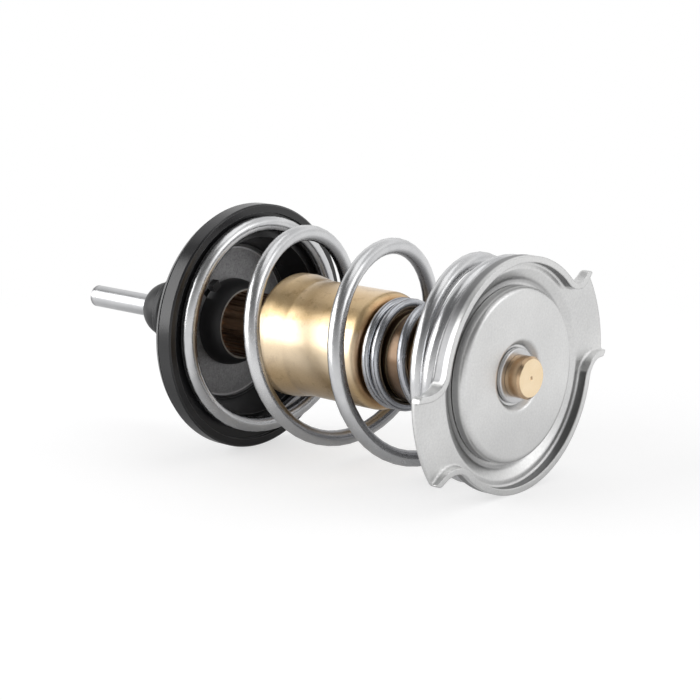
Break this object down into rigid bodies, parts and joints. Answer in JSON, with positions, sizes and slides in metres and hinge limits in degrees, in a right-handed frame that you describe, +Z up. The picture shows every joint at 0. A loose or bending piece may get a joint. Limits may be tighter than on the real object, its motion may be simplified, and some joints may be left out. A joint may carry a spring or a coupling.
{
  "type": "engine thermostat",
  "caption": "Wax-element engine thermostat insert: rubber-edged valve, brass element, main coil spring, bayonet bridge and sprung bypass disc on a brass stem",
  "frame": {"origin": "on the element's axis, in the plane of the seal's lip, where the valve shuts on its housing", "axes": "+X runs along the element from the valve towards the bypass disc, +Z is up, +Y completes the right-handed frame"},
  "size_m": [0.1283, 0.0606, 0.054],
  "materials": {
    "pin_steel": "polished steel with fine turning marks",
    "washer_plastic": "plain white moulding",
    "rubber": "black moulded rubber with a soft sheen",
    "dark_brass": "turned brass, stained dark",
    "plate_steel": "pressed steel with a thin dark coat",
    "brass": "drawn brass, bright with warm stains at its edges",
    "pale_brass": "turned pale brass",
    "wax": "wax with copper powder",
    "sheet_steel": "pressed stainless sheet, satin",
    "spring_steel": "bright drawn stainless wire"
  },
  "bodies": {
    "bridge": {"bridge": "sheet_steel", "main_spring": "spring_steel"},
    "valve": {"valve_plate": "plate_steel", "valve_seal": "rubber", "hub_seal": "rubber", "guide_body": "dark_brass", "nose_boot": "rubber", "diaphragm": "rubber", "wax_charge": "wax", "wax_cylinder": "brass", "bypass_stem": "pale_brass", "stem_ring": "pin_steel", "bypass_spring": "spring_steel"},
    "piston": {"piston_pin": "pin_steel", "thrust_washer": "washer_plastic", "force_plug": "rubber"},
    "bypass_disc": {"bypass_disc": "sheet_steel"}
  },
  "joints": [
    {"name": "valve_open", "type": "slide", "parent": "bridge", "child": "valve", "axis": [1, 0, 0], "range_m": [0, 0.009], "stiffness_N_per_m": 5200, "springref_m": -0.02, "deforming": ["main_spring"]},
    {"name": "piston_stroke", "type": "slide", "parent": "valve", "child": "piston", "axis": [-1, 0, 0], "range_m": [0, 0.009], "deforming": ["diaphragm"]},
    {"name": "bypass_slide", "type": "slide", "parent": "valve", "child": "bypass_disc", "axis": [-1, 0, 0], "range_m": [0, 0.004], "stiffness_N_per_m": 5900, "springref_m": -0.002, "deforming": ["bypass_spring"]}
  ],
  "couplings": [
    {"joint": "piston_stroke", "follows": "valve_open", "ratio": 1},
    {"joint": "bypass_slide", "follows": "valve_open", "ratio": 0.4444}
  ]
}
